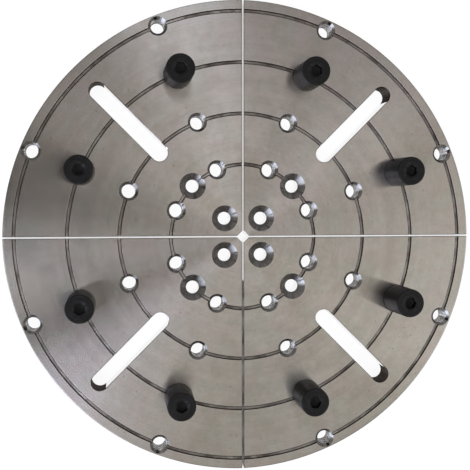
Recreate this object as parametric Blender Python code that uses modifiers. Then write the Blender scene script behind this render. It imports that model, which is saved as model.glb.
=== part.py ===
"""Flat button jaws for a woodturning scroll chuck.

A turned disc is sawn into four quadrant plates, one for each jaw of the chuck. Each plate has groove arcs for
centring the work, tapped holes along those arcs, a radial slot, and two countersunk holes that fix it to its
jaw slide. Rubber buttons, each held by a socket screw, stand on one ring of holes and grip the rim of a bowl.
With the chuck closed, the plates stand closer together than in the whole disc, by most of the saw's kerf.

Units are metres. The origin is on the chuck's axis at the back of the plates, and +Z points at the work.
"""

import math

import bmesh
import bpy

MM = 0.001

# Jaw plates
JAW_COUNT = 4
PLATE_THICKNESS = 12.5 * MM
SAW_KERF = 3.0 * MM               # cut away between neighbouring plates
JAW_GAP = 0.7 * MM                # left between them with the chuck closed
CENTRE_CUT = 2.5 * MM             # legs of the 45 degree cut at a plate's inner corner
RIM_WALL = 0.6 * MM               # metal left between the outer holes' mouths and the rim
RIM_CHAMFER = 0.4 * MM

# Countersunk holes for the screws that fix a plate to its jaw slide
MOUNT_HOLE_INNER_RADIUS = 14.2 * MM   # from the disc's centre, as all the radii are
MOUNT_HOLE_PITCH = 22.0 * MM
MOUNT_HOLE_BORE = 6.6 * MM
COUNTERSINK_MOUTH = 12.6 * MM

# Rings of grooves and button holes
RING_COUNT = 4
RING_PITCH = 24.5 * MM
GROOVE_WIDTH = 1.8 * MM
GROOVE_FLOOR = 1.0 * MM
GROOVE_DEPTH = 0.6 * MM
BUTTON_HOLES_PER_RING = 2         # on each plate
BUTTON_HOLE_BORE = 6.6 * MM
BUTTON_HOLE_MOUTH = 9.4 * MM

# Radial slot
SLOT_WIDTH = 8.2 * MM
SLOT_INSET = 6.2 * MM             # from each end in to the ring beyond it
SLOT_FIRST_RING = 2               # the slot starts inside this ring and stops inside the last one

# Rubber buttons
BUTTON_RING = 3
BUTTON_HEIGHT = 20.0 * MM
BUTTON_WALL = 1.6 * MM            # rubber around the screw's head
BUTTON_EDGE = 0.5 * MM

# Socket screws that hold the buttons
SCREW_DIAMETER = 8.0 * MM
SCREW_HEAD_DIAMETER = 10.0 * MM
SCREW_HEAD_HEIGHT = 6.0 * MM
SCREW_HEAD_CHAMFER = 0.6 * MM
SCREW_SOCKET_FLATS = 5.0 * MM
SCREW_SOCKET_DEPTH = 3.0 * MM
SCREW_TIP_INSET = 1.8 * MM        # the tip's height above the plate's back
SCREW_TIP_CHAMFER = 0.7 * MM

# Clearance between pieces that fit together, and how far a cutter runs past the metal
FIT = 0.3 * MM
OVERCUT = 2.0 * MM

# Facets
DISC_STEPS = 80
HOLE_STEPS = 20
SLOT_END_STEPS = 9
SMOOTH_ANGLE = math.radians(30.0)
MERGE_DISTANCE = 0.00001

# Places worked out from the sizes above
QUARTER_TURN = math.tau / JAW_COUNT
CLOSING = (SAW_KERF - JAW_GAP) / 2 / math.sin(QUARTER_TURN / 2)   # each plate's move in to the axis
FIRST_RING_RADIUS = MOUNT_HOLE_INNER_RADIUS + MOUNT_HOLE_PITCH
RING_RADII = [FIRST_RING_RADIUS + RING_PITCH * index for index in range(RING_COUNT)]
PLATE_RADIUS = RING_RADII[-1] + BUTTON_HOLE_MOUTH / 2 + RIM_WALL
BUTTON_HOLE_STEP = QUARTER_TURN / BUTTON_HOLES_PER_RING
BUTTON_HOLE_ANGLES = [
    (index + 0.5) * BUTTON_HOLE_STEP - QUARTER_TURN / 2 for index in range(BUTTON_HOLES_PER_RING)
]
BUTTON_BASE = PLATE_THICKNESS + FIT
BUTTON_TOP = BUTTON_BASE + BUTTON_HEIGHT
BUTTON_BORE = SCREW_DIAMETER + 2 * FIT
BUTTON_COUNTERBORE = SCREW_HEAD_DIAMETER + 2 * FIT
BUTTON_DIAMETER = BUTTON_COUNTERBORE + 2 * BUTTON_WALL
HEAD_UNDERSIDE = BUTTON_TOP - SCREW_HEAD_HEIGHT
THREAD_CORE = BUTTON_HOLE_BORE - 2 * FIT


def clear_scene():
    """Remove every object, so that the model starts empty."""
    for item in list(bpy.data.objects):
        bpy.data.objects.remove(item, do_unlink=True)


def new_collection(name):
    """Add a collection to the scene and return it."""
    collection = bpy.data.collections.new(name)
    bpy.context.scene.collection.children.link(collection)
    return collection


def principled(name, color, roughness, metallic):
    """Return a material with one Principled shader."""
    material = bpy.data.materials.new(name)
    material.use_nodes = True
    shader = material.node_tree.nodes["Principled BSDF"]
    shader.inputs["Base Color"].default_value = (*color, 1.0)
    shader.inputs["Roughness"].default_value = roughness
    shader.inputs["Metallic"].default_value = metallic
    return material


def turned(name, profile, steps, collection, closed=False):
    """Return a body turned about Z from (radius, height) points that run down its outer side."""
    points = [(radius, 0.0, height) for radius, height in profile]
    edges = [(index, index + 1) for index in range(len(points) - 1)]
    if closed:
        edges.append((len(points) - 1, 0))
    mesh = bpy.data.meshes.new(name)
    mesh.from_pydata(points, edges, [])
    item = bpy.data.objects.new(name, mesh)
    collection.objects.link(item)
    screw = item.modifiers.new("Turn", 'SCREW')
    screw.steps = steps
    screw.render_steps = steps
    screw.use_merge_vertices = True
    screw.merge_threshold = MERGE_DISTANCE
    return item


def extruded(name, outline, low, high, collection):
    """Return a prism on a flat outline of (x, y) points, between two heights."""
    curve = bpy.data.curves.new(name, 'CURVE')
    curve.dimensions = '2D'
    curve.fill_mode = 'BOTH'
    curve.extrude = (high - low) / 2
    spline = curve.splines.new('POLY')
    spline.points.add(len(outline) - 1)
    for point, (x, y) in zip(spline.points, outline):
        point.co = (x, y, 0.0, 1.0)
    spline.use_cyclic_u = True
    guide = bpy.data.objects.new(name, curve)
    collection.objects.link(guide)
    guide.location.z = (low + high) / 2
    item = bpy.data.objects.new(name, baked_mesh(guide, name))
    collection.objects.link(item)
    bpy.data.objects.remove(guide, do_unlink=True)
    return item


def baked_mesh(item, name):
    """Return a welded mesh of an object as its modifiers and its place leave it."""
    bpy.context.view_layer.update()
    graph = bpy.context.evaluated_depsgraph_get()
    mesh = bpy.data.meshes.new_from_object(item.evaluated_get(graph))
    mesh.transform(item.matrix_world)
    mesh.name = name
    shape = bmesh.new()
    shape.from_mesh(mesh)
    bmesh.ops.remove_doubles(shape, verts=shape.verts, dist=MERGE_DISTANCE)
    shape.to_mesh(mesh)
    shape.free()
    return mesh


def boolean(item, cutter, operation):
    """Cut or trim an object with another one."""
    modifier = item.modifiers.new(cutter.name, 'BOOLEAN')
    modifier.operation = operation
    modifier.solver = 'EXACT'
    modifier.object = cutter


def as_cutter(item):
    """Mark an object as a cutter, which is drawn as wire and isn't a part."""
    item.hide_render = True
    item.display_type = 'WIRE'
    return item


def arc(centre_x, radius, start, steps):
    """Return the points of a half circle about (centre_x, 0), counter-clockwise from an angle."""
    angles = [start + math.pi * index / steps for index in range(steps + 1)]
    return [(centre_x + radius * math.cos(angle), radius * math.sin(angle)) for angle in angles]


def grooved_disc(collection):
    """Return the whole turned disc, before it is sawn into jaws."""
    profile = [(0.0, PLATE_THICKNESS)]
    for radius in RING_RADII:
        profile.append((radius - GROOVE_WIDTH / 2, PLATE_THICKNESS))
        profile.append((radius - GROOVE_FLOOR / 2, PLATE_THICKNESS - GROOVE_DEPTH))
        profile.append((radius + GROOVE_FLOOR / 2, PLATE_THICKNESS - GROOVE_DEPTH))
        profile.append((radius + GROOVE_WIDTH / 2, PLATE_THICKNESS))
    profile.append((PLATE_RADIUS - RIM_CHAMFER, PLATE_THICKNESS))
    profile.append((PLATE_RADIUS, PLATE_THICKNESS - RIM_CHAMFER))
    profile.append((PLATE_RADIUS, RIM_CHAMFER))
    profile.append((PLATE_RADIUS - RIM_CHAMFER, 0.0))
    profile.append((0.0, 0.0))
    disc = turned("jaw_plate", profile, DISC_STEPS, collection)
    disc.rotation_euler.z = math.pi / DISC_STEPS
    return disc


def quadrant_block(collection):
    """Return the block that trims the disc to one jaw, whose centre line is +X."""
    near = SAW_KERF / 2
    cut = near + CENTRE_CUT
    far = PLATE_RADIUS + OVERCUT
    outline = [(cut, near), (far, near), (far, far), (near, far), (near, cut)]
    block = extruded("quadrant_block", outline, -OVERCUT, PLATE_THICKNESS + OVERCUT, collection)
    block.rotation_euler.z = -QUARTER_TURN / 2
    return as_cutter(block)


def slot_cutter(collection):
    """Return the round-ended bar that cuts the radial slot."""
    half_width = SLOT_WIDTH / 2
    inner_end = RING_RADII[SLOT_FIRST_RING - 1] - SLOT_INSET + half_width
    outer_end = RING_RADII[-1] - SLOT_INSET - half_width
    outline = arc(outer_end, half_width, -math.pi / 2, SLOT_END_STEPS)
    outline += arc(inner_end, half_width, math.pi / 2, SLOT_END_STEPS)
    return as_cutter(extruded("slot_cutter", outline, -OVERCUT, PLATE_THICKNESS + OVERCUT, collection))


def hole_mesh(name, bore, mouth, collection):
    """Return the mesh of a drill with a 90 degree countersink that is as wide as the mouth at the top face."""
    top = PLATE_THICKNESS + OVERCUT
    profile = [
        (0.0, top),
        (mouth / 2 + OVERCUT, top),
        (bore / 2, PLATE_THICKNESS - (mouth - bore) / 2),
        (bore / 2, -OVERCUT),
        (0.0, -OVERCUT),
    ]
    drill = turned(name, profile, HOLE_STEPS, collection)
    mesh = baked_mesh(drill, name)
    bpy.data.objects.remove(drill, do_unlink=True)
    return mesh


def drill_at(mesh, radius, angle, collection):
    """Return a drill at a place on the jaw, turned so that no facet edge lies on the ring."""
    drill = bpy.data.objects.new(mesh.name, mesh)
    collection.objects.link(drill)
    drill.location = (radius * math.cos(angle), radius * math.sin(angle), 0.0)
    drill.rotation_euler.z = angle + math.pi / HOLE_STEPS
    return as_cutter(drill)


def jaw_plate_mesh(cutters):
    """Return the mesh of one jaw plate, with its centre line along +X."""
    plate = grooved_disc(cutters)
    boolean(plate, quadrant_block(cutters), 'INTERSECT')
    boolean(plate, slot_cutter(cutters), 'DIFFERENCE')
    countersink = hole_mesh("countersink", MOUNT_HOLE_BORE, COUNTERSINK_MOUTH, cutters)
    for radius in (MOUNT_HOLE_INNER_RADIUS, MOUNT_HOLE_INNER_RADIUS + MOUNT_HOLE_PITCH):
        boolean(plate, drill_at(countersink, radius, 0.0, cutters), 'DIFFERENCE')
    button_drill = hole_mesh("button_drill", BUTTON_HOLE_BORE, BUTTON_HOLE_MOUTH, cutters)
    for radius in RING_RADII:
        for angle in BUTTON_HOLE_ANGLES:
            boolean(plate, drill_at(button_drill, radius, angle, cutters), 'DIFFERENCE')
    mesh = baked_mesh(plate, "jaw_plate")
    bpy.data.objects.remove(plate, do_unlink=True)
    return mesh


def button_mesh(cutters):
    """Return the mesh of a rubber button: a sleeve with a seat for the screw's head."""
    seat = HEAD_UNDERSIDE - FIT
    profile = [
        (BUTTON_DIAMETER / 2 - BUTTON_EDGE, BUTTON_TOP),
        (BUTTON_DIAMETER / 2, BUTTON_TOP - BUTTON_EDGE),
        (BUTTON_DIAMETER / 2, BUTTON_BASE),
        (BUTTON_BORE / 2, BUTTON_BASE),
        (BUTTON_BORE / 2, seat),
        (BUTTON_COUNTERBORE / 2, seat),
        (BUTTON_COUNTERBORE / 2, BUTTON_TOP),
    ]
    sleeve = turned("rubber_button", profile, HOLE_STEPS, cutters, closed=True)
    mesh = baked_mesh(sleeve, "rubber_button")
    bpy.data.objects.remove(sleeve, do_unlink=True)
    return mesh


def screw_mesh(cutters):
    """Return the mesh of a socket screw, with its threaded end drawn at the thread's core."""
    profile = [
        (0.0, BUTTON_TOP),
        (SCREW_HEAD_DIAMETER / 2 - SCREW_HEAD_CHAMFER, BUTTON_TOP),
        (SCREW_HEAD_DIAMETER / 2, BUTTON_TOP - SCREW_HEAD_CHAMFER),
        (SCREW_HEAD_DIAMETER / 2, HEAD_UNDERSIDE),
        (SCREW_DIAMETER / 2, HEAD_UNDERSIDE),
        (SCREW_DIAMETER / 2, BUTTON_BASE),
        (THREAD_CORE / 2, BUTTON_BASE),
        (THREAD_CORE / 2, SCREW_TIP_INSET + SCREW_TIP_CHAMFER),
        (THREAD_CORE / 2 - SCREW_TIP_CHAMFER, SCREW_TIP_INSET),
        (0.0, SCREW_TIP_INSET),
    ]
    screw = turned("button_screw", profile, HOLE_STEPS, cutters)
    corner_radius = SCREW_SOCKET_FLATS / 2 / math.cos(math.pi / 6)
    depth = SCREW_SOCKET_DEPTH + OVERCUT
    bpy.ops.mesh.primitive_cylinder_add(vertices=6, radius=corner_radius, depth=depth)
    key = bpy.context.object
    key.name = "hex_key"
    key.location.z = BUTTON_TOP - SCREW_SOCKET_DEPTH + depth / 2
    for collection in list(key.users_collection):
        collection.objects.unlink(key)
    cutters.objects.link(key)
    boolean(screw, as_cutter(key), 'DIFFERENCE')
    mesh = baked_mesh(screw, "button_screw")
    bpy.data.objects.remove(screw, do_unlink=True)
    return mesh


def finish(mesh, material):
    """Shade a mesh smooth between its sharp edges and give it its material."""
    mesh.shade_smooth()
    mesh.set_sharp_from_angle(angle=SMOOTH_ANGLE)
    mesh.materials.clear()
    mesh.materials.append(material)
    return mesh


def place(name, mesh, parent, collection, location=(0.0, 0.0, 0.0)):
    """Add one piece to a jaw."""
    item = bpy.data.objects.new(name, mesh)
    collection.objects.link(item)
    item.parent = parent
    item.location = location
    return item


def build():
    """Model each kind of piece once, then set out the four jaws around the chuck's axis."""
    clear_scene()
    parts = new_collection("button_jaws")
    cutters = new_collection("cutters")
    aluminium = principled("turned_aluminium", (0.52, 0.50, 0.47), 0.38, 1.0)
    rubber = principled("black_rubber", (0.018, 0.018, 0.019), 0.62, 0.0)
    black_steel = principled("black_oxide_steel", (0.030, 0.029, 0.028), 0.42, 0.7)

    plate = finish(jaw_plate_mesh(cutters), aluminium)
    button = finish(button_mesh(cutters), rubber)
    screw = finish(screw_mesh(cutters), black_steel)

    button_radius = RING_RADII[BUTTON_RING - 1]
    for index in range(JAW_COUNT):
        number = index + 1
        jaw = bpy.data.objects.new(f"jaw_{number}", None)
        parts.objects.link(jaw)
        heading = (index + 0.5) * QUARTER_TURN
        jaw.rotation_euler.z = heading
        jaw.location = (-CLOSING * math.cos(heading), -CLOSING * math.sin(heading), 0.0)
        place(f"jaw_plate_{number}", plate, jaw, parts)
        for letter, angle in zip("ab", BUTTON_HOLE_ANGLES):
            spot = (button_radius * math.cos(angle), button_radius * math.sin(angle), 0.0)
            place(f"rubber_button_{number}{letter}", button, jaw, parts, spot)
            place(f"button_screw_{number}{letter}", screw, jaw, parts, spot)


build()
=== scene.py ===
"""Looks of a set of flat button jaws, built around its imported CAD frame.

A turned aluminium disc is cut into four jaw plates for a woodturning scroll chuck. Eight rubber buttons stand on
one ring of tapped holes, each held by a socket screw. Every piece is modelled here with its edge breaks, threads
and tool marks, takes the place of its CAD node and rides on that node's jaw.
"""

import logging
import math
from dataclasses import dataclass, field
from enum import Enum
from typing import Any, Sequence

import bpy
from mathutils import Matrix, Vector


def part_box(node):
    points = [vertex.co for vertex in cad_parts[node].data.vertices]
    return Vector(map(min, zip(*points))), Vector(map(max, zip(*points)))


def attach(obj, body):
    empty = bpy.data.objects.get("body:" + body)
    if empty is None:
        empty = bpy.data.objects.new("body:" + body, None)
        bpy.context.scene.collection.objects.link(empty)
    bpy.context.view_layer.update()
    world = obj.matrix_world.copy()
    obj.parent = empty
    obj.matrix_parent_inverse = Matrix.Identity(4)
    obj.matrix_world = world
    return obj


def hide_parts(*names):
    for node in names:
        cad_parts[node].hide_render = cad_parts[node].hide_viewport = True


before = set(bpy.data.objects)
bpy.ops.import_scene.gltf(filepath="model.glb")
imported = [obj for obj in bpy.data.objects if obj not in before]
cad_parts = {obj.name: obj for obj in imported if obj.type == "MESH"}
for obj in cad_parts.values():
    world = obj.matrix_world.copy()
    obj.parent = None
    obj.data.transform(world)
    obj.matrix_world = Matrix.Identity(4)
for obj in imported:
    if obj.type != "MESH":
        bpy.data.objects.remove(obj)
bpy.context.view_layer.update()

log = logging.getLogger("button_jaws")

MM = 0.001
WELD = 0.000001

Colour = tuple[float, float, float]
Corner = tuple[float, float, float]
Point = tuple[float, float]


class Cut(Enum):
    """What one body does to another."""

    REMOVE = 'DIFFERENCE'
    JOIN = 'UNION'
    KEEP = 'INTERSECT'


class Bench:
    """The modelling steps that the pieces share, each done with Blender's own operators."""

    @staticmethod
    def clear() -> None:
        """Leave edit mode and deselect everything."""
        if bpy.context.object is not None and bpy.context.object.mode != 'OBJECT':
            bpy.ops.object.mode_set(mode='OBJECT')
        bpy.ops.object.select_all(action='DESELECT')

    @staticmethod
    def pick(item: bpy.types.Object) -> None:
        """Make one object the only selected one, and the active one."""
        Bench.clear()
        item.select_set(True)
        bpy.context.view_layer.objects.active = item

    @staticmethod
    def edit(item: bpy.types.Object) -> None:
        """Open one object in edit mode with all of its mesh selected."""
        Bench.pick(item)
        bpy.ops.object.mode_set(mode='EDIT')
        bpy.ops.mesh.select_all(action='SELECT')

    @staticmethod
    def close() -> None:
        """Weld the open mesh, turn its faces outwards and leave edit mode."""
        bpy.ops.mesh.select_all(action='SELECT')
        bpy.ops.mesh.remove_doubles(threshold=WELD)
        bpy.ops.mesh.normals_make_consistent(inside=False)
        bpy.ops.object.mode_set(mode='OBJECT')

    @staticmethod
    def eased(corners: Sequence[Corner], steps: int = 4) -> list[Point]:
        """Round the corners of a profile.

        Args:
            corners: Radius and height of each corner, then the radius of its rounding, which is 0 for a sharp one.
            steps: How many edges make up a rounding.

        Returns:
            The radius and height of each point of the profile.
        """
        points: list[Point] = []
        for index, (radius, height, ease) in enumerate(corners):
            if ease == 0.0:
                points.append((radius, height))
                continue
            here = Vector((radius, height))
            back = (Vector(corners[index - 1][:2]) - here).normalized()
            ahead = (Vector(corners[index + 1][:2]) - here).normalized()
            half = back.angle(ahead) / 2
            centre = here + (back + ahead).normalized() * ease / math.sin(half)
            first = here + back * ease / math.tan(half) - centre
            last = here + ahead * ease / math.tan(half) - centre
            start = math.atan2(first.y, first.x)
            sweep = (math.atan2(last.y, last.x) - start + math.pi) % math.tau - math.pi
            for step in range(steps + 1):
                angle = start + sweep * step / steps
                points.append((centre.x + ease * math.cos(angle), centre.y + ease * math.sin(angle)))
        return points

    @staticmethod
    def traced(name: str, outline: Sequence[Point]) -> bpy.types.Object:
        """Draw a profile in the XZ plane by extruding one vertex from point to point.

        Args:
            name: Name of the new object.
            outline: Radius and height of each point.

        Returns:
            The new object, open in edit mode.
        """
        Bench.clear()
        bpy.ops.mesh.primitive_plane_add(size=MM)
        item = bpy.context.object
        item.name = name
        bpy.ops.object.mode_set(mode='EDIT')
        bpy.ops.mesh.select_all(action='SELECT')
        bpy.ops.mesh.merge(type='CENTER')
        bpy.ops.transform.translate(value=(outline[0][0], 0.0, outline[0][1]))
        for here, there in zip(outline, outline[1:]):
            step = (there[0] - here[0], 0.0, there[1] - here[1])
            bpy.ops.mesh.extrude_region_move(TRANSFORM_OT_translate={"value": step})
        return item

    @staticmethod
    def turned(name: str, outline: Sequence[Point], steps: int) -> bpy.types.Object:
        """Spin a profile a full turn about Z.

        Args:
            name: Name of the new object.
            outline: Radius and height of each point, closed on itself or on the axis.
            steps: How many facets go round.

        Returns:
            The closed body.
        """
        item = Bench.traced(name, outline)
        bpy.ops.mesh.select_all(action='SELECT')
        bpy.ops.mesh.spin(steps=steps, angle=math.tau, center=(0.0, 0.0, 0.0), axis=(0.0, 0.0, 1.0))
        Bench.close()
        return item

    @staticmethod
    def shaved(item: bpy.types.Object, point: Sequence[float], normal: Sequence[float]) -> None:
        """Cut away what lies beyond a plane and close the cut.

        Args:
            item: The body to cut.
            point: A point on the plane.
            normal: The plane's normal, on the side that goes.
        """
        Bench.edit(item)
        bpy.ops.mesh.bisect(plane_co=point, plane_no=normal, use_fill=True, clear_outer=True, threshold=WELD)
        Bench.close()

    @staticmethod
    def scored(item: bpy.types.Object, facing: Vector, point: Vector) -> None:
        """Divide the flat faces that look one way across a plane, with nothing cut off.

        Args:
            item: The body to divide.
            facing: The way the faces look.
            point: A point on the plane, which is square to the line from the origin to it.
        """
        Bench.edit(item)
        bpy.ops.mesh.select_all(action='DESELECT')
        bpy.ops.object.mode_set(mode='OBJECT')
        for face in item.data.polygons:
            face.select = face.normal.dot(facing) > 0.99
        chosen = {index for face in item.data.polygons if face.select for index in face.vertices}
        for vertex in item.data.vertices:
            vertex.select = vertex.index in chosen
        for edge in item.data.edges:
            edge.select = chosen.issuperset(edge.vertices)
        bpy.ops.object.mode_set(mode='EDIT')
        bpy.ops.mesh.bisect(plane_co=point, plane_no=point.normalized(), threshold=WELD)
        Bench.close()

    @staticmethod
    def edge_broken(item: bpy.types.Object, corner: Vector, first: Vector, second: Vector, leg: float) -> None:
        """Plane a small 45 degree chamfer along a straight square edge.

        Args:
            item: The body to cut.
            corner: A point on the edge.
            first: Normal of one face at the edge.
            second: Normal of the other face.
            leg: Width of the chamfer on each face.
        """
        Bench.shaved(item, corner - first * leg, (first + second).normalized())

    @staticmethod
    def wound(name: str, crest: float, root: float, pitch: float, low: float, high: float) -> bpy.types.Object:
        """Wind one pitch of a thread into a rod with flat ends. Threads of one pitch are in step with each other.

        Args:
            name: Name of the new object.
            crest: Radius of the thread's crest.
            root: Radius of its root.
            pitch: Distance between two turns.
            low: Height of the rod's lower end.
            high: Height of its upper end.

        Returns:
            The closed rod.
        """
        start = math.floor(low / pitch) * pitch - 2 * pitch
        outline = [(root, 0.0), (root, 0.14), (crest, 0.47), (crest, 0.67), (root, 1.0)]
        item = Bench.traced(name, [(radius, start + share * pitch) for radius, share in outline])
        Bench.pick(item)
        winding = item.modifiers.new("Winding", 'SCREW')
        winding.screw_offset = pitch
        winding.iterations = math.ceil((high - start) / pitch) + 1
        winding.steps = 24
        winding.render_steps = 24
        bpy.ops.object.modifier_apply(modifier=winding.name)
        Bench.edit(item)
        Bench.close()
        Bench.shaved(item, (0.0, 0.0, low), (0.0, 0.0, -1.0))
        Bench.shaved(item, (0.0, 0.0, high), (0.0, 0.0, 1.0))
        return item

    @staticmethod
    def carved(item: bpy.types.Object, tool: bpy.types.Object, cut: Cut) -> None:
        """Cut, join or trim a body with another one, which is used up."""
        Bench.pick(item)
        modifier = item.modifiers.new(tool.name, 'BOOLEAN')
        modifier.operation = cut.value
        modifier.solver = 'EXACT'
        modifier.object = tool
        bpy.ops.object.modifier_apply(modifier=modifier.name)
        bpy.data.objects.remove(tool, do_unlink=True)

    @staticmethod
    def copied(item: bpy.types.Object, name: str, place: Sequence[float], turn: float) -> bpy.types.Object:
        """Copy a body with a mesh of its own, turn the copy about Z and move it.

        Args:
            item: The body to copy.
            name: Name of the copy.
            place: Where the copy's origin goes.
            turn: How far the copy is turned first, in radians.

        Returns:
            The copy, with its place in its mesh.
        """
        Bench.pick(item)
        bpy.ops.object.duplicate(linked=False)
        twin = bpy.context.object
        twin.name = name
        twin.data.name = name
        twin.rotation_euler = (0.0, 0.0, turn)
        twin.location = place
        bpy.ops.object.transform_apply(location=True, rotation=True, scale=True)
        return twin

    @staticmethod
    def gathered(items: Sequence[bpy.types.Object], name: str) -> bpy.types.Object:
        """Join bodies that don't touch into one object."""
        Bench.pick(items[0])
        for item in items[1:]:
            item.select_set(True)
        bpy.ops.object.join()
        bpy.context.object.name = name
        return bpy.context.object

    @staticmethod
    def smoothed(item: bpy.types.Object, angle: float) -> None:
        """Weld a body and shade it smooth across edges that bend by less than an angle in degrees."""
        Bench.edit(item)
        Bench.close()
        bpy.ops.object.shade_smooth_by_angle(angle=math.radians(angle))


class NodeSheet:
    """A node tree that is filled in one node at a time."""

    def __init__(self, tree: bpy.types.NodeTree) -> None:
        """Empty a tree.

        Args:
            tree: The tree to fill.
        """
        self.tree = tree
        self.tree.nodes.clear()

    def add(self, kind: str, label: str, options: dict[str, Any] | None = None,
            inputs: dict[int | str, Any] | None = None) -> bpy.types.Node:
        """Add one node.

        Args:
            kind: The node's type.
            label: What it is for.
            options: Values of its settings.
            inputs: For each input, by name or number, the socket that feeds it or its value.

        Returns:
            The node.
        """
        node = self.tree.nodes.new(kind)
        node.label = label
        for key, value in (options or {}).items():
            setattr(node, key, value)
        for key, value in (inputs or {}).items():
            if isinstance(value, bpy.types.NodeSocket):
                self.tree.links.new(value, node.inputs[key])
            else:
                node.inputs[key].default_value = value
        return node

    def math(self, operation: str, label: str, *values: Any) -> bpy.types.NodeSocket:
        """Add a Math node and return its result."""
        return self.add("ShaderNodeMath", label, {"operation": operation}, dict(enumerate(values))).outputs[0]

    def vector(self, operation: str, label: str, *values: Any) -> bpy.types.Node:
        """Add a Vector Math node and return it."""
        return self.add("ShaderNodeVectorMath", label, {"operation": operation}, dict(enumerate(values)))

    def noise(self, label: str, where: bpy.types.NodeSocket, scale: float, detail: float, rough: float,
              rings: bool = False) -> bpy.types.NodeSocket:
        """Add a noise.

        Args:
            label: What it is for.
            where: The place it is read at: a vector, or a distance for rings.
            scale: How many features go to a metre.
            detail: How many finer octaves there are.
            rough: How strong those octaves are.
            rings: Whether the noise varies along one distance only.

        Returns:
            The noise, about 0.5 on average.
        """
        node = self.add("ShaderNodeTexNoise", label, {"noise_dimensions": '1D' if rings else '3D'},
                        {"W" if rings else "Vector": where, "Scale": scale, "Detail": detail, "Roughness": rough})
        return node.outputs[0]

    def ramp(self, label: str, value: bpy.types.NodeSocket, low: Any, high: Any,
             bottom: Any = 0.0, top: Any = 1.0) -> bpy.types.NodeSocket:
        """Add a smooth step.

        Args:
            label: What it is for.
            value: What is mapped.
            low: Where the step starts.
            high: Where it ends.
            bottom: The result at its start.
            top: The result at its end.

        Returns:
            The mapped value.
        """
        node = self.add("ShaderNodeMapRange", label, {"interpolation_type": 'SMOOTHSTEP'},
                        {0: value, 1: low, 2: high, 3: bottom, 4: top})
        return node.outputs[0]

    def blend(self, label: str, share: Any, first: Any, second: Any, kind: str = 'MIX') -> bpy.types.NodeSocket:
        """Add a colour mix and return its colour."""
        if not isinstance(first, bpy.types.NodeSocket):
            first = (*first, 1.0)
        if not isinstance(second, bpy.types.NodeSocket):
            second = (*second, 1.0)
        node = self.add("ShaderNodeMix", label, {"data_type": 'RGBA', "blend_type": kind},
                        {0: share, 6: first, 7: second})
        return node.outputs[2]


def new_material(name: str) -> tuple[bpy.types.Material, NodeSheet]:
    """Make a material.

    Args:
        name: Name of the material.

    Returns:
        The material and its empty node sheet.
    """
    material = bpy.data.materials.new(name)
    material.use_nodes = True
    return material, NodeSheet(material.node_tree)


class WearAndShade(Enum):
    """How much dirt and painted shade each kind of face on a plate takes and how smooth it is, from 0 to 1, and its
    tone next to the turned face, where a tone below 1 is painted shade.
    """

    FACE = (0.0, 0.0, 1.0)
    # Painted shade: countersinks and thread chamfers are darkened, and their tone is cut to 0.72.
    CONE = (0.15, 0.36, 0.72)
    BORE = (0.0, 1.0, 1.0)
    THREAD = (0.0, 0.95, 1.0)
    # Painted shade: the slot's outer end walls are made nearly black.
    SLOT_END = (0.88, 0.0, 1.0)
    SLOT_SIDE = (0.0, 1.0, 1.0)
    # Painted shade: the sides along the seams take a little patchy darkening.
    SIDE = (0.05, 1.0, 1.0)
    # Painted shade: the edge breaks along the seams are darkened into dark lines.
    EDGE = (0.55, 0.0, 1.0)
    # Painted shade: the groove flanks are made nearly black.
    FLANK = (0.95, 0.0, 1.0)
    # The groove floors are darkened about half way.
    FLOOR = (0.46, 0.0, 1.0)
    RIM = (0.06, 0.0, 1.0)
    # Painted shade: the seam below the chuck's axis is darkened.
    SEAM = (0.24, 0.6, 1.0)


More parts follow.
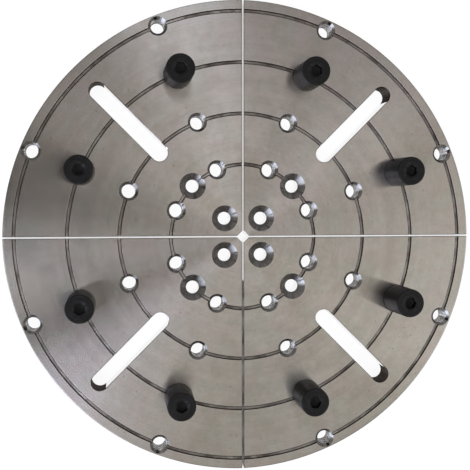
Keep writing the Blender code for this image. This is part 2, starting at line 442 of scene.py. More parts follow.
@dataclass(frozen=True)
class TurnedAluminium:
    """Face-turned aluminium with fine concentric tool marks and stains of use, with dirt and painted shade in its
    hollows, and with the plates painted a little lighter and darker than each other as painted light and shade.
    """

    clean: Colour = (0.410, 0.388, 0.359)
    stained: Colour = (0.367, 0.342, 0.304)
    rosy: Colour = (1.015, 0.985, 0.990)
    green: Colour = (0.985, 1.010, 0.995)
    bright: Colour = (0.91, 0.905, 0.895)
    # Dark colour of dirt, and of painted shade in the hollows, gaps and cones.
    dirt_and_shade: Colour = (0.050, 0.037, 0.029)
    roughness: float = 0.20
    smoothness: float = 0.09
    stretch: float = 1.0
    axis_name: str = "turn_centre"
    dirt_and_shade_name: str = "dirt_and_shade"
    polish_name: str = "polish"
    # Attribute with each plate's painted light and shade and the cones' painted shade.
    light_and_shade_name: str = "painted_light_and_shade"

    def material(self) -> bpy.types.Material:
        """Build the material and return it."""
        material, sheet = new_material("turned_aluminium")
        place = sheet.add("ShaderNodeTexCoord", "place").outputs["Object"]
        axis = sheet.add("ShaderNodeAttribute", "axis of turning", {"attribute_name": self.axis_name})
        soil = sheet.add("ShaderNodeAttribute", "dirt_and_shade", {"attribute_name": self.dirt_and_shade_name}).outputs["Fac"]
        polish = sheet.add("ShaderNodeAttribute", "polish", {"attribute_name": self.polish_name}).outputs["Fac"]
        spoke = sheet.vector('SUBTRACT', "out from the axis", place, axis.outputs["Vector"]).outputs[0]
        flat = sheet.vector('MULTIPLY', "level", spoke, (1.0, 1.0, 0.0)).outputs[0]
        reach = sheet.vector('LENGTH', "distance from the axis", flat).outputs["Value"]

        fine = sheet.noise("fine tool marks", reach, 1500.0, 3.0, 0.7, rings=True)
        broad = sheet.noise("broad tool marks", reach, 190.0, 4.0, 0.6, rings=True)
        cloud = sheet.noise("stains", place, 42.0, 7.0, 0.62)
        mottle = sheet.noise("mottling", place, 210.0, 5.0, 0.68)
        level = sheet.math('ADD', "level", cloud, -0.45)
        patchy = sheet.math('MULTIPLY_ADD', "stains and mottling", mottle, 0.9, level)
        stains = sheet.ramp("stain cover", patchy, 0.30, 0.74)
        colour = sheet.blend("stained metal", stains, self.clean, self.stained)
        tarnish = sheet.ramp("tarnish", sheet.noise("tarnish", place, 75.0, 3.0, 0.55), 0.35, 0.65)
        hue = sheet.blend("hue", tarnish, self.rosy, self.green)
        colour = sheet.blend("tarnished metal", 1.0, colour, hue, 'MULTIPLY')

        marks = sheet.math('ADD', "marks", sheet.math('MULTIPLY', "fine share", fine, 0.5),
                           sheet.math('MULTIPLY', "broad share", broad, 0.5))
        tone = sheet.ramp("tone of the marks", marks, 0.25, 0.75, 0.94, 1.06)
        # Painted light and shade: each plate's tone, lighter or darker than the others, and the cones' darker tone
        # scale the colour.
        own = sheet.add("ShaderNodeAttribute", "painted light and shade of the plate", {"attribute_name": self.light_and_shade_name}).outputs["Fac"]
        grain = sheet.ramp("grain", sheet.noise("grain", place, 1500.0, 2.0, 0.5), 0.3, 0.7, 0.965, 1.035)
        tone = sheet.math('MULTIPLY', "tone", sheet.math('MULTIPLY', "grainy tone", tone, grain), own)
        colour = sheet.blend("marked metal", 1.0, colour, tone, 'MULTIPLY')

        cells = sheet.add("ShaderNodeTexVoronoi", "specks", None, {"Vector": place, "Scale": 330.0})
        speck = sheet.ramp("speck", cells.outputs["Distance"], 0.20, 0.08)
        chance = sheet.add("ShaderNodeSeparateColor", "chance", None, {0: cells.outputs["Color"]}).outputs[0]
        spots = sheet.math('MULTIPLY', "spots", speck, sheet.ramp("few cells", chance, 0.86, 0.92))
        colour = sheet.blend("spotted metal", sheet.math('MULTIPLY', "spot depth", spots, 0.30), colour, self.dirt_and_shade)

        shine = sheet.math('POWER', "shine", polish, 2.0)
        colour = sheet.blend("bright bores", shine, colour, self.bright)
        dirt = sheet.noise("dirt", place, 130.0, 4.0, 0.6)
        partial = sheet.math('MULTIPLY', "partly covered", soil, sheet.math('SUBTRACT', "left clean", 1.0, soil))
        about = sheet.math('MULTIPLY_ADD', "dirt about 0", dirt, 4.0, -2.0)
        uneven = sheet.math('MULTIPLY', "unevenness", partial, about)
        # Painted shade: the dark colour covers groove flanks, slot ends, seam edges, the seam and the cones, together
        # with real dirt.
        cover = sheet.ramp("cover", sheet.math('ADD', "dirt", soil, uneven), 0.0, 1.0)
        colour = sheet.blend("dirt and painted shade in hollows", cover, colour, self.dirt_and_shade)

        rough = sheet.ramp("roughness", cloud, 0.3, 0.7, self.roughness - 0.02, self.roughness + 0.03)
        rough = sheet.ramp("smooth bores", polish, 0.0, 1.0, rough, self.smoothness)
        rough = sheet.ramp("dull dirt", cover, 0.0, 1.0, rough, 0.55)
        bump = sheet.add("ShaderNodeBump", "tool marks", None,
                         {"Strength": 0.08, "Distance": 0.02 * MM, "Height": marks})
        shader = sheet.add("ShaderNodeBsdfPrincipled", "aluminium", None,
                           {"Base Color": colour, "Metallic": 1.0, "Roughness": rough, "Anisotropic": self.stretch,
                            "Tangent": spoke, "Normal": bump.outputs[0]})
        sheet.add("ShaderNodeOutputMaterial", "surface", None, {"Surface": shader.outputs[0]})
        return material


@dataclass(frozen=True)
class MouldedRubber:
    """Black moulded rubber with a dull skin."""

    black: Colour = (0.0063, 0.0056, 0.0050)
    dusty: Colour = (0.0176, 0.0161, 0.0148)
    roughness: float = 0.40

    def material(self) -> bpy.types.Material:
        """Build the material and return it."""
        material, sheet = new_material("moulded_rubber")
        place = sheet.add("ShaderNodeTexCoord", "place").outputs["Object"]
        bloom = sheet.noise("bloom", place, 240.0, 5.0, 0.6)
        grain = sheet.noise("skin", place, 4200.0, 3.0, 0.6)
        dust = sheet.ramp("dust", bloom, 0.45, 0.8)
        colour = sheet.blend("dusty rubber", dust, self.black, self.dusty)
        rough = sheet.ramp("roughness", bloom, 0.3, 0.7, self.roughness - 0.07, self.roughness + 0.07)
        bump = sheet.add("ShaderNodeBump", "skin", None, {"Strength": 0.25, "Distance": 0.03 * MM, "Height": grain})
        shader = sheet.add("ShaderNodeBsdfPrincipled", "rubber", None,
                           {"Base Color": colour, "Roughness": rough, "Specular IOR Level": 0.23,
                            "Normal": bump.outputs[0]})
        sheet.add("ShaderNodeOutputMaterial", "surface", None, {"Surface": shader.outputs[0]})
        return material


@dataclass(frozen=True)
class BlackOxide:
    """Steel with a black oxide coat, with painted shade in its hex socket."""

    coat: Colour = (0.021, 0.0205, 0.020)
    rubbed: Colour = (0.040, 0.038, 0.036)
    # Darker colour of the socket: painted shade.
    socket_shade: Colour = (0.017, 0.0165, 0.016)
    roughness: float = 0.38
    hollow_name: str = "hollow"

    def material(self) -> bpy.types.Material:
        """Build the material and return it."""
        material, sheet = new_material("black_oxide_steel")
        place = sheet.add("ShaderNodeTexCoord", "place").outputs["Object"]
        cloud = sheet.noise("rubbing", place, 520.0, 5.0, 0.65)
        grain = sheet.noise("blasted grain", place, 6000.0, 2.0, 0.5)
        colour = sheet.blend("rubbed coat", sheet.ramp("rubbed", cloud, 0.5, 0.8), self.coat, self.rubbed)
        rough = sheet.ramp("roughness", cloud, 0.3, 0.7, self.roughness + 0.08, self.roughness - 0.05)
        hollow = sheet.add("ShaderNodeAttribute", "socket", {"attribute_name": self.hollow_name}).outputs["Fac"]
        # Painted shade: the socket's faces take the darker colour.
        colour = sheet.blend("painted shade in the socket", hollow, colour, self.socket_shade)
        rough = sheet.ramp("dull socket", hollow, 0.0, 1.0, rough, 0.5)
        bump = sheet.add("ShaderNodeBump", "grain", None, {"Strength": 0.2, "Distance": 0.02 * MM, "Height": grain})
        shader = sheet.add("ShaderNodeBsdfPrincipled", "steel", None,
                           {"Base Color": colour, "Metallic": 0.85, "Roughness": rough, "Specular IOR Level": 0.35,
                            "Normal": bump.outputs[0]})
        sheet.add("ShaderNodeOutputMaterial", "surface", None, {"Surface": shader.outputs[0]})
        return material


@dataclass
class JawPlate:
    """One quarter of the turned disc, in the +X +Y quadrant, with its holes, slot and groove arcs.

    Distances are from the disc's own centre. With the jaws closed, the plates stand closer together than in the
    whole disc, so each plate is moved in by part of the saw's kerf.
    """

    thickness: float
    reach: float
    kerf: float = 3.0 * MM
    gap: float = 0.7 * MM
    centre_cut: float = 2.5 * MM
    edge: float = 0.25 * MM
    rim_ease: float = 0.4 * MM
    ring_radii: tuple[float, ...] = (36.2 * MM, 60.7 * MM, 85.2 * MM, 109.7 * MM)
    groove_width: float = 1.8 * MM
    groove_floor: float = 1.0 * MM
    groove_depth: float = 0.6 * MM
    groove_lip: float = 0.06 * MM
    land: float = 0.3 * MM
    seam_start: float = 22.0 * MM
    hole_angles: tuple[float, ...] = (math.radians(22.5), math.radians(67.5))
    hole_mouth: float = 9.2 * MM
    thread_crest: float = 6.6 * MM
    thread_root: float = 7.9 * MM
    thread_pitch: float = 1.25 * MM
    mount_radii: tuple[float, ...] = (14.2 * MM, 36.2 * MM)
    mount_bore: float = 6.2 * MM
    mount_mouth: float = 12.6 * MM
    slot_width: float = 8.2 * MM
    slot_ends: tuple[float, float] = (54.5 * MM, 103.5 * MM)
    steps: int = 360
    hole_steps: int = 48

    @property
    def closing(self) -> float:
        """How far a plate is moved in along X and along Y."""
        return (self.kerf - self.gap) / 2

    @property
    def radius(self) -> float:
        """The disc's radius, from how far a closed plate reaches along its straight side."""
        return math.hypot(self.reach + self.closing, self.kerf / 2)

    def centre(self, turn: float) -> Vector:
        """Return the disc's centre for a closed plate that is turned by an angle in radians."""
        return Vector((math.sin(turn) - math.cos(turn), -math.sin(turn) - math.cos(turn), 0.0)) * self.closing

    def blank(self) -> bpy.types.Object:
        """Turn the grooved disc, saw one quarter out of it and break that quarter's straight edges."""
        top, land = self.thickness, self.rim_ease + self.land
        corners: list[Corner] = [(0.0, top, 0.0)]
        for ring in self.ring_radii:
            for side in (-1, 1):
                flat = (ring + side * (self.groove_width / 2 + self.land), top, 0.0)
                lip = (ring + side * self.groove_width / 2, top, self.groove_lip)
                foot = (ring + side * self.groove_floor / 2, top - self.groove_depth, self.groove_lip)
                corners += [flat, lip, foot] if side < 0 else [foot, lip, flat]
        corners += [(self.radius - land, top, 0.0), (self.radius, top, self.rim_ease), (self.radius, top - land, 0.0),
                    (self.radius, land, 0.0), (self.radius, 0.0, self.rim_ease), (self.radius - land, 0.0, 0.0),
                    (0.0, 0.0, 0.0)]
        plate = Bench.turned("plate", Bench.eased(corners), self.steps)

        up, down = Vector((0.0, 0.0, 1.0)), Vector((0.0, 0.0, -1.0))
        near = self.kerf / 2
        left, front = Vector((-1.0, 0.0, 0.0)), Vector((0.0, -1.0, 0.0))
        inner = (left + front).normalized()
        walls = [(left, Vector((near, 0.0, 0.0))), (front, Vector((0.0, near, 0.0))),
                 (inner, Vector((near + self.centre_cut, near, 0.0)))]
        for normal, point in walls:
            Bench.shaved(plate, point, normal)
        for normal, point in walls:
            Bench.edge_broken(plate, point + up * top, normal, up, self.edge)
            Bench.edge_broken(plate, point, normal, down, self.edge)
        Bench.edge_broken(plate, Vector((near, self.radius, 0.0)), left, -front, self.edge)
        Bench.edge_broken(plate, Vector((self.radius, near, 0.0)), front, -left, self.edge)
        for facing, along in ((left, -front), (front, -left)):
            Bench.scored(plate, facing, along * (self.seam_start + self.closing))
        return plate

    def slot_cutter(self) -> bpy.types.Object:
        """Loft the round-ended bar that mills the slot and breaks its edges, along the plate's diagonal."""
        half = self.slot_width / 2
        start, end = self.slot_ends[0] + half, self.slot_ends[1] - half
        clear = 1.0 * MM
        levels = [(-clear, half + self.edge + clear), (self.edge, half),
                  (self.thickness - self.edge, half), (self.thickness + clear, half + self.edge + clear)]
        Bench.clear()
        bpy.ops.mesh.primitive_circle_add(vertices=62, radius=levels[0][1], location=(start, 0.0, levels[0][0]))
        bar = bpy.context.object
        bar.name = "slot_cutter"
        bpy.ops.object.transform_apply(location=True, rotation=True, scale=True)
        bpy.ops.object.mode_set(mode='EDIT')
        for index, (height, radius) in enumerate(levels):
            if index:
                bpy.ops.mesh.primitive_circle_add(vertices=62, radius=radius, location=(start, 0.0, height))
            bpy.ops.mesh.select_all(action='DESELECT')
            bpy.ops.object.mode_set(mode='OBJECT')
            for vertex in bar.data.vertices:
                vertex.select = vertex.co.x > start and abs(vertex.co.z - height) < WELD
            bpy.ops.object.mode_set(mode='EDIT')
            bpy.ops.transform.translate(value=(end - start, 0.0, 0.0))
        bpy.ops.mesh.select_all(action='SELECT')
        bpy.ops.mesh.bridge_edge_loops()
        bpy.ops.mesh.select_all(action='SELECT')
        bpy.ops.mesh.fill_holes(sides=0)
        Bench.close()
        turned = Bench.copied(bar, "slot_cutter", (0.0, 0.0, 0.0), math.pi / 4)
        bpy.data.objects.remove(bar, do_unlink=True)
        return turned

    def drill(self, name: str, bore: float, mouth: float, back: float) -> bpy.types.Object:
        """Turn a drill with a 90 degree countersink.

        Args:
            name: Name of the drill.
            bore: Diameter of the hole.
            mouth: Diameter of the countersink at the plate's face.
            back: Diameter of the small chamfer at the plate's back.

        Returns:
            The drill, standing on the plate's axis.
        """
        clear = 1.0 * MM
        depth = (mouth - bore) / 2
        lead = (back - bore) / 2
        outline = [(0.0, self.thickness + clear), (mouth / 2 + clear, self.thickness + clear),
                   (bore / 2, self.thickness - depth), (bore / 2, lead), (back / 2 + clear, -clear), (0.0, -clear)]
        return Bench.turned(name, outline, self.hole_steps)

    def cones(self) -> list[bpy.types.Object]:
        """Turn the two cones that chamfer a tapped hole, at the plate's face and at its back."""
        clear = 1.0 * MM
        mouth, back = self.hole_mouth / 2, self.thread_root / 2 + 0.25 * MM
        face_cone = [(0.0, self.thickness + clear), (mouth + clear, self.thickness + clear),
                     (0.0, self.thickness - mouth)]
        back_cone = [(0.0, back), (back + clear, -clear), (0.0, -clear)]
        return [Bench.turned("face_cone", face_cone, self.hole_steps),
                Bench.turned("back_cone", back_cone, self.hole_steps)]

    def tapped_places(self) -> list[Vector]:
        """Return the axes of the tapped holes, ring by ring."""
        return [Vector((ring * math.cos(angle), ring * math.sin(angle), 0.0))
                for ring in self.ring_radii for angle in self.hole_angles]

    def mount_places(self) -> list[Vector]:
        """Return the axes of the countersunk holes, on the plate's diagonal."""
        return [Vector((radius, radius, 0.0)) / math.sqrt(2.0) for radius in self.mount_radii]

    def build(self) -> bpy.types.Object:
        """Cut the slot and every hole into the blank and return the finished plate."""
        plate = self.blank()
        thread = Bench.wound("thread", self.thread_root / 2, self.thread_crest / 2, self.thread_pitch,
                             -1.0 * MM, self.thickness - 1.0 * MM)
        countersink = self.drill("countersink", self.mount_bore, self.mount_mouth, self.mount_bore + 0.6 * MM)
        cones = self.cones()
        tools = [self.slot_cutter()]
        tools += [Bench.copied(thread, "thread", place, 0.0) for place in self.tapped_places()]
        tools += [Bench.copied(countersink, "countersink", place, 0.0) for place in self.mount_places()]
        Bench.carved(plate, Bench.gathered(tools, "tools"), Cut.REMOVE)
        tools = [Bench.copied(cone, "cone", place, 0.0) for place in self.tapped_places() for cone in cones]
        Bench.carved(plate, Bench.gathered(tools, "tools"), Cut.REMOVE)
        for tool in (thread, countersink, *cones):
            bpy.data.objects.remove(tool, do_unlink=True)
        Bench.smoothed(plate, 28.0)
        return plate

    def holes(self) -> list[tuple[Vector, float, float]]:
        """Return each hole's axis, the radius of its mouth and that of its bore."""
        tapped = [(place, self.hole_mouth / 2, self.thread_root / 2) for place in self.tapped_places()]
        return tapped + [(place, self.mount_mouth / 2, self.mount_bore / 2) for place in self.mount_places()]

    def kind_of_face(self, spot: Vector, normal: Vector) -> WearAndShade:
        """Tell what kind of face lies at a spot.

        Args:
            spot: The face's middle, on a plate that stands as in the whole disc.
            normal: The face's normal.

        Returns:
            The kind of face.
        """
        near = 0.1 * MM
        sunk = spot.z < self.thickness - near / 2
        for axis, mouth, bore in self.holes():
            inwards = axis.xy - spot.xy
            if inwards.length < mouth + near and normal.xy.dot(inwards) > 0.3 * inwards.length:
                if inwards.length < bore + near and normal.z < 0.6:
                    return WearAndShade.BORE if abs(normal.z) < 0.2 else WearAndShade.THREAD
                return WearAndShade.CONE
        along, across = (spot.x + spot.y) / math.sqrt(2.0), abs(spot.y - spot.x) / math.sqrt(2.0)
        inside = across < self.slot_width / 2 + near and self.slot_ends[0] - near < along < self.slot_ends[1] + near
        if inside and abs(normal.z) < 0.95:
            return WearAndShade.SLOT_END if along > self.slot_ends[1] - self.slot_width / 2 else WearAndShade.SLOT_SIDE
        if spot.xy.length > self.radius - 2 * self.rim_ease:
            return WearAndShade.RIM
        if abs(normal.z) < 0.3 and min(spot.x, spot.y) < self.kerf / 2 + self.centre_cut:
            return WearAndShade.SIDE
        if normal.z < 0.95 and min(spot.x, spot.y) < self.kerf / 2 + 2 * self.edge:
            return WearAndShade.EDGE
        if sunk and normal.z > 0.0:
            return WearAndShade.FLOOR if normal.z > 0.95 else WearAndShade.FLANK
        return WearAndShade.FACE

    def mark_wear_and_shade(self, plate: bpy.types.Object, names: tuple[str, str, str]) -> None:
        """Store on each face how much dirt and painted shade it takes, how smooth it is and how far painted shade
        darkens its tone, for the finish to follow.

        Args:
            plate: A finished plate that stands as in the whole disc.
            names: Names of the attributes for dirt and painted shade, for polish and for painted light and shade.
        """
        kinds = [self.kind_of_face(face.center, face.normal) for face in plate.data.polygons]
        for index, name in enumerate(names):
            store = plate.data.attributes.new(name, 'FLOAT', 'FACE')
            store.data.foreach_set("value", [kind.value[index] for kind in kinds])

    def mark_axes(self, plate: bpy.types.Object, turn: float, name: str) -> None:
        """Store on each face the axis that it was turned about, for the finish to follow.

        Args:
            plate: A finished and closed plate, in its own quadrant.
            turn: How far that plate is turned from the first one, in radians.
            name: Name of the attribute.
        """
        spin = Vector((math.cos(turn), math.sin(turn)))
        middle = self.centre(turn)
        axes = [(Vector((place.x * spin.x - place.y * spin.y, place.x * spin.y + place.y * spin.x)) + middle.xy,
                 mouth + 0.2 * MM) for place, mouth, bore in self.holes()]
        marks: list[float] = []
        for face in plate.data.polygons:
            centre = tuple(middle)
            if abs(face.normal.z) < 0.3:
                centre = (face.center.x, face.center.y, -1.0)
            elif face.normal.z < 0.95:
                for axis, reach in axes:
                    if (face.center.xy - axis).length < reach:
                        centre = (axis.x, axis.y, 0.0)
            marks.extend(centre)
        store = plate.data.attributes.new(name, 'FLOAT_VECTOR', 'FACE')
        store.data.foreach_set("vector", marks)

    def paint_seam_shade(self, plate: bpy.types.Object, dirt_and_shade_name: str, polish_name: str) -> None:
        """Paint shade into the seam below the chuck's axis by darkening the side faces of a plate that borders on it.

        Args:
            plate: A finished and closed plate, in its own quadrant.
            dirt_and_shade_name: Name of the attribute for dirt and painted shade.
            polish_name: Name of the attribute for polish.
        """
        dirt_and_shade, polish = plate.data.attributes[dirt_and_shade_name].data, plate.data.attributes[polish_name].data
        for face in plate.data.polygons:
            if abs(face.normal.x) > 0.9 and abs(face.center.x) < self.kerf / 2 and face.center.y < -self.seam_start:
                dirt_and_shade[face.index].value, polish[face.index].value = WearAndShade.SEAM.value[:2]

    @staticmethod
    def mark_painted_light(plate: bpy.types.Object, tone: float, name: str) -> None:
        """Paint light and shade on a plate: make each face brighter or darker by that plate's painted tone next to the
        others.
        """
        for face in plate.data.attributes[name].data:
            face.value *= tone


@dataclass
class RubberButton:
    """A rubber sleeve that stands on the plate, with a seat for the screw's head inside it."""

    base: float
    top: float
    diameter: float = 13.8 * MM
    draft: float = 0.2 * MM
    bore: float = 8.6 * MM
    counterbore: float = 10.06 * MM
    seat: float = 26.5 * MM
    top_ease: float = 0.5 * MM
    base_ease: float = 0.3 * MM
    steps: int = 72

    def build(self) -> bpy.types.Object:
        """Turn the sleeve with rounded edges and return it."""
        outer, middle = self.diameter / 2, (self.base + self.top) / 2
        waist = outer - self.draft / 2
        corners: list[Corner] = [
            (waist, middle, 0.0), (outer - self.draft, self.top, self.top_ease),
            (self.counterbore / 2, self.top, 0.05 * MM), (self.counterbore / 2, self.seat, 0.0),
            (self.bore / 2, self.seat, 0.0), (self.bore / 2, self.base, self.base_ease),
            (outer, self.base, self.base_ease), (waist, middle, 0.0),
        ]
        button = Bench.turned("button", Bench.eased(corners, 6), self.steps)
        Bench.smoothed(button, 35.0)
        return button


@dataclass
class SocketScrew:
    """A cap screw with a hexagon socket and a wound thread, black all over."""

    top: float
    tip: float
    head_diameter: float = 10.0 * MM
    head_height: float = 6.0 * MM
    head_ease: float = 0.1 * MM
    shank: float = 8.0 * MM
    plain_length: float = 6.0 * MM
    thread_crest: float = 7.7 * MM
    thread_root: float = 6.35 * MM
    thread_pitch: float = 1.25 * MM
    tip_chamfer: float = 0.7 * MM
    socket_flats: float = 5.0 * MM
    socket_depth: float = 3.0 * MM
    socket_lead: float = 0.2 * MM
    drill_point: float = 0.9 * MM
    steps: int = 64

    def key(self) -> bpy.types.Object:
        """Model the hexagon key, with a drill point, that forms the socket."""
        corner = self.socket_flats / math.sqrt(3.0)
        clear = 1.0 * MM
        depth = self.socket_depth + clear
        Bench.clear()
        bpy.ops.mesh.primitive_cylinder_add(vertices=6, radius=corner, depth=depth,
                                            location=(0.0, 0.0, self.top + clear - depth / 2))
        key = bpy.context.object
        key.name = "hex_key"
        bpy.ops.object.transform_apply(location=True, rotation=True, scale=True)
        for face in key.data.polygons:
            face.select = face.normal.z < -0.9
        for vertex in key.data.vertices:
            vertex.select = vertex.co.z < self.top - self.socket_depth + WELD
        for edge in key.data.edges:
            edge.select = all(key.data.vertices[index].select for index in edge.vertices)
        bpy.ops.object.mode_set(mode='EDIT')
        bpy.ops.mesh.extrude_region_move(TRANSFORM_OT_translate={"value": (0.0, 0.0, -self.drill_point)})
        bpy.ops.mesh.merge(type='CENTER')
        Bench.close()
        return key

    def build(self) -> bpy.types.Object:
        """Turn the head and shank, wind the thread, form the socket and return the screw."""
        under = self.top - self.head_height
        neck = under - self.plain_length
        corners: list[Corner] = [
            (0.0, self.top, 0.0), (self.head_diameter / 2, self.top, self.head_ease),
            (self.head_diameter / 2, under, 0.15 * MM), (self.shank / 2, under, 0.25 * MM),
            (self.shank / 2, neck, 0.0), (self.thread_root / 2 - 0.2 * MM, neck - 0.6 * MM, 0.0),
            (0.0, neck - 0.6 * MM, 0.0),
        ]
        screw = Bench.turned("screw", Bench.eased(corners, 5), self.steps)
        thread = Bench.wound("screw_thread", self.thread_crest / 2, self.thread_root / 2, self.thread_pitch,
                             self.tip, neck - 0.1 * MM)
        sheath = self.thread_crest / 2 + 0.5 * MM
        point = sheath - self.tip_chamfer - 0.5 * MM
        trim = Bench.turned("point", [(0.0, self.top), (sheath, self.top), (sheath, self.tip + sheath - point),
                                      (point, self.tip), (0.0, self.tip)], self.steps)
        Bench.carved(thread, trim, Cut.KEEP)
        Bench.carved(screw, thread, Cut.JOIN)
        Bench.carved(screw, self.key(), Cut.REMOVE)
        rim = self.socket_flats / math.sqrt(3.0)
        lead = Bench.turned("lead", [(0.0, self.top + MM), (rim + 1.5 * MM, self.top + MM),
                                     (0.0, self.top + MM - (rim + 1.5 * MM) * 0.62)], self.steps)
        Bench.carved(screw, lead, Cut.REMOVE)
        Bench.smoothed(screw, 32.0)
        return screw

    def mark_socket(self, screw: bpy.types.Object, name: str) -> None:
        """Store on each face whether it lies in the socket, for the finish to paint shade there.

        Args:
            screw: The finished screw, standing on its axis.
            name: Name of the attribute.
        """
        reach = self.socket_flats / math.sqrt(3.0) + 0.05 * MM
        floor = self.top - self.socket_depth - self.drill_point - 0.1 * MM
        store = screw.data.attributes.new(name, 'FLOAT', 'FACE')
        store.data.foreach_set("value", [
            1.0 if face.center.xy.length < reach and floor < face.center.z < self.top - 0.25 * MM else 0.0
            for face in screw.data.polygons])


@dataclass
class ButtonJaws:
    """The whole set: four jaws, each with its plate, two buttons and two screws."""

    plate: JawPlate
    button: RubberButton
    screw: SocketScrew
    button_ring: int = 2
    letters: str = "ab"
    # Painted light and shade: the second plate is painted lighter and the first a little darker than the others.
    painted_plate_light: tuple[float, ...] = (0.98, 1.06, 1.0, 1.0)
    pieces: list[bpy.types.Object] = field(default_factory=list)

    def settle(self, piece: bpy.types.Object, node: str, body: str, material: bpy.types.Material) -> None:
        """Give a piece its finish, its CAD node and its jaw.

        Args:
            piece: The finished piece.
            node: The CAD node that it takes the place of.
            body: The body that it rides on.
            material: Its finish.
        """
        piece.data.materials.clear()
        piece.data.materials.append(material)
        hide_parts(node)
        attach(piece, body)
        self.pieces.append(piece)
        log.info("%s stands for %s on %s with %d faces", piece.name, node, body, len(piece.data.polygons))

    def build(self) -> None:
        """Model each kind of piece once and set copies of it out around the chuck's axis."""
        aluminium, black = TurnedAluminium(), BlackOxide()
        metal, rubber, oxide = aluminium.material(), MouldedRubber().material(), black.material()
        plate, button, screw = self.plate.build(), self.button.build(), self.screw.build()
        self.plate.mark_wear_and_shade(plate, (aluminium.dirt_and_shade_name, aluminium.polish_name, aluminium.light_and_shade_name))
        self.screw.mark_socket(screw, black.hollow_name)
        for index in range(4):
            turn, number = index * math.pi / 2, index + 1
            body = f"jaw_{number}"
            centre = self.plate.centre(turn)
            quarter = Bench.copied(plate, f"turned_plate_{number}", centre, turn)
            self.plate.mark_axes(quarter, turn, aluminium.axis_name)
            # Paint each plate lighter or darker as painted light and shade.
            self.plate.mark_painted_light(quarter, self.painted_plate_light[index], aluminium.light_and_shade_name)
            # Paint shade into the seam below the chuck's axis.
            self.plate.paint_seam_shade(quarter, aluminium.dirt_and_shade_name, aluminium.polish_name)
            self.settle(quarter, f"jaw_plate_{number}", body, metal)
            for letter, angle in zip(self.letters, self.plate.hole_angles):
                ring = self.plate.ring_radii[self.button_ring]
                place = centre + ring * Vector((math.cos(angle + turn), math.sin(angle + turn), 0.0))
                mark = f"{number}{letter}"
                grip = Bench.copied(button, f"grip_button_{mark}", place, turn)
                self.settle(grip, f"rubber_button_{mark}", body, rubber)
                bolt = Bench.copied(screw, f"socket_screw_{mark}", place, turn)
                self.settle(bolt, f"button_screw_{mark}", body, oxide)
        for pattern in (plate, button, screw):
            bpy.data.objects.remove(pattern, do_unlink=True)


@dataclass(frozen=True)
class SoftPanel:
    """A soft patch of light on the studio's dome, with its angles in degrees."""

    name: str
    azimuth: float
    height: float
    core: float
    reach: float
    strength: float
    colour: Colour = (1.0, 1.0, 1.0)

    def direction(self) -> tuple[float, float, float]:
        """Return the unit vector to the patch's middle."""
        azimuth, height = math.radians(self.azimuth), math.radians(self.height)
        return (math.cos(azimuth) * math.cos(height), math.sin(azimuth) * math.cos(height), math.sin(height))


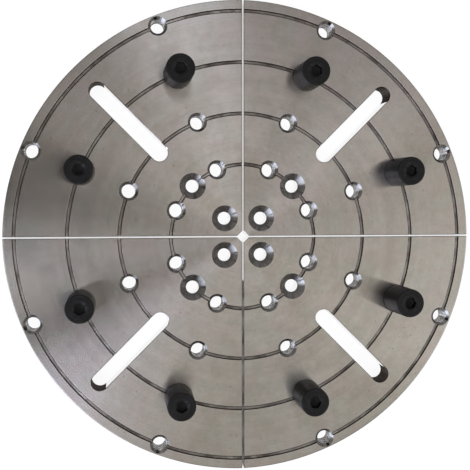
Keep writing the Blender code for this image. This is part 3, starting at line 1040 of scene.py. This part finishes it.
@dataclass
class Studio:
    """A pale floor under a soft dome of light, and the camera above it."""

    floor_height: float = -0.2 * MM
    floor_size: float = 12.0
    horizon: Colour = (0.042, 0.041, 0.045)
    zenith: Colour = (0.374, 0.357, 0.374)
    backdrop: Colour = (0.300, 0.295, 0.302)
    rise: tuple[float, float] = (0.25, 0.90)
    backdrop_foot: tuple[float, float] = (0.03, 0.16)
    backdrop_top: tuple[float, float] = (0.45, 0.76)
    panels: tuple[SoftPanel, ...] = (
        SoftPanel("right", 353.0, 67.1, 9.3, 14.6, 0.54, (1.000, 0.943, 0.799)),
        SoftPanel("front", 296.5, 72.1, 10.0, 14.0, 0.42, (0.987, 1.000, 0.832)),
        SoftPanel("near", 233.8, 61.6, 4.0, 8.1, 4.80, (0.777, 0.791, 1.000)),
        SoftPanel("left", 193.0, 58.6, 8.4, 12.5, 4.44, (0.840, 0.870, 1.000)),
        SoftPanel("far", 88.1, 70.6, 5.2, 9.2, 1.45, (0.781, 0.859, 1.000)),
        SoftPanel("high", 16.4, 81.9, 2.7, 6.7, 1.08, (1.000, 0.940, 0.952)),
        SoftPanel("low_right", 341.6, 40.4, 12.1, 22.0, 1.53, (0.888, 0.952, 1.000)),
        SoftPanel("low_far", 109.7, 34.0, 6.0, 11.0, 0.80, (0.806, 0.891, 1.000)),
        SoftPanel("low_near", 243.3, 58.2, 2.3, 15.8, 1.71, (0.780, 0.793, 1.000)),
        SoftPanel("window", 221.0, 12.0, 3.0, 36.0, 3.4, (0.70, 0.79, 1.0)),
    )
    flags: tuple[SoftPanel, ...] = (
        SoftPanel("camera", 208.8, 80.8, 8.2, 12.3, 0.97),
        SoftPanel("body", 167.4, 49.6, 10.7, 15.8, 0.97),
        SoftPanel("arm", 116.6, 71.2, 3.5, 7.5, 0.97),
        SoftPanel("stand", 160.0, 68.6, 2.5, 8.1, 0.59),
        SoftPanel("post", 164.5, 69.3, 3.8, 8.1, 0.77),
    )
    camera_place: tuple[float, float, float] = (-59.89 * MM, 17.37 * MM, 420.93 * MM)
    camera_tilt: tuple[float, float, float] = (-2.293, -7.8023, -0.0504)
    camera_lens: float = 65.23

    def lay_floor(self) -> None:
        """Lay a white floor that keeps the object's shadow."""
        Bench.clear()
        bpy.ops.mesh.primitive_plane_add(size=self.floor_size, location=(0.0, 0.0, self.floor_height))
        floor = bpy.context.object
        floor.name = "studio_floor"
        bpy.ops.object.transform_apply(location=True, rotation=True, scale=True)
        material, sheet = new_material("studio_floor")
        rays = sheet.add("ShaderNodeLightPath", "rays")
        seen = sheet.math('MAXIMUM', "seen directly", rays.outputs["Is Camera Ray"], rays.outputs["Is Glossy Ray"])
        seen = sheet.math('MAXIMUM', "seen at all", seen, rays.outputs["Is Transmission Ray"])
        paint = sheet.add("ShaderNodeBsdfDiffuse", "paint", None, {"Color": (0.8, 0.8, 0.8, 1.0)})
        thin = sheet.add("ShaderNodeBsdfDiffuse", "thin paint", None, {"Color": (0.16, 0.16, 0.16, 1.0)})
        glow = sheet.add("ShaderNodeEmission", "white", None, {"Color": (1.0, 1.0, 1.0, 1.0), "Strength": 0.92})
        white = sheet.add("ShaderNodeAddShader", "white with a shadow", None, {0: thin.outputs[0], 1: glow.outputs[0]})
        surface = sheet.add("ShaderNodeMixShader", "floor", None, {0: seen, 1: paint.outputs[0], 2: white.outputs[0]})
        sheet.add("ShaderNodeOutputMaterial", "surface", None, {"Surface": surface.outputs[0]})
        floor.data.materials.append(material)

    def light_dome(self) -> None:
        """Light the scene from a dome with soft panels and dark flags."""
        world = bpy.data.worlds.new("studio_dome")
        bpy.context.scene.world = world
        world.use_nodes = True
        sheet = NodeSheet(world.node_tree)
        ray = sheet.add("ShaderNodeTexCoord", "direction").outputs["Generated"]
        height = sheet.add("ShaderNodeSeparateXYZ", "height", None, {0: ray}).outputs[2]
        light = sheet.blend("dome", sheet.ramp("rise", height, *self.rise), self.horizon, self.zenith)
        pale = sheet.math('MULTIPLY', "backdrop's band", sheet.ramp("backdrop's foot", height, *self.backdrop_foot),
                          sheet.ramp("backdrop's top", height, *self.backdrop_top, 1.0, 0.0))
        light = sheet.blend("with backdrop", pale, light, self.backdrop, 'ADD')
        for panel in self.panels:
            glow = self.patch(sheet, ray, panel, 0.0, panel.strength)
            tint = sheet.blend(panel.name, 1.0, panel.colour, glow, 'MULTIPLY')
            light = sheet.blend(f"with {panel.name}", 1.0, light, tint, 'ADD')
        for flag in self.flags:
            shade = self.patch(sheet, ray, flag, 1.0, 1.0 - flag.strength)
            light = sheet.blend(f"behind {flag.name}", 1.0, light, shade, 'MULTIPLY')
        glow = sheet.add("ShaderNodeBackground", "glow", None, {"Color": light, "Strength": 1.0})
        white = sheet.add("ShaderNodeBackground", "white", None, {"Color": (1.0, 1.0, 1.0, 1.0), "Strength": 1.0})
        seen = sheet.add("ShaderNodeLightPath", "rays").outputs["Is Camera Ray"]
        around = sheet.add("ShaderNodeMixShader", "around", None, {0: seen, 1: glow.outputs[0], 2: white.outputs[0]})
        sheet.add("ShaderNodeOutputWorld", "world", None, {"Surface": around.outputs[0]})

    @staticmethod
    def patch(sheet: NodeSheet, ray: bpy.types.NodeSocket, panel: SoftPanel, outside: float,
              inside: float) -> bpy.types.NodeSocket:
        """Draw one soft round patch on the dome.

        Args:
            sheet: The world's nodes.
            ray: Direction of the light.
            panel: Where the patch is and how wide it is.
            outside: The value away from it.
            inside: The value in its core.

        Returns:
            The patch's value in the given direction.
        """
        facing = sheet.vector('DOT_PRODUCT', panel.name, ray, panel.direction()).outputs["Value"]
        return sheet.ramp(panel.name, facing, math.cos(math.radians(panel.reach)),
                          math.cos(math.radians(panel.core)), outside, inside)

    def place_camera(self) -> None:
        """Put the camera above the plates, a little left of their axis, as in the photograph."""
        Bench.clear()
        bpy.ops.object.camera_add(location=self.camera_place,
                                  rotation=tuple(math.radians(angle) for angle in self.camera_tilt))
        camera = bpy.context.object
        camera.name = "camera"
        camera.data.sensor_width = 36.0
        camera.data.lens = self.camera_lens
        camera.data.clip_start = 0.01
        bpy.context.scene.camera = camera

    def build(self) -> None:
        """Set up the floor, the light and the camera."""
        bpy.context.scene.view_settings.view_transform = 'Standard'
        self.place_camera()
        self.lay_floor()
        self.light_dome()


def main() -> None:
    """Build the studio and the jaws, and report each piece."""
    logging.basicConfig(level=logging.INFO, format="%(name)s: %(message)s")
    Studio().build()
    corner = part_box("jaw_plate_1")[1]
    button_low, button_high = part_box("rubber_button_1a")
    jaws = ButtonJaws(
        plate=JawPlate(thickness=corner.z, reach=corner.x),
        button=RubberButton(base=button_low.z, top=button_high.z),
        screw=SocketScrew(top=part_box("button_screw_1a")[1].z, tip=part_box("button_screw_1a")[0].z),
    )
    jaws.build()
    log.info("%d pieces", len(jaws.pieces))


if __name__ == "__main__":
    main()
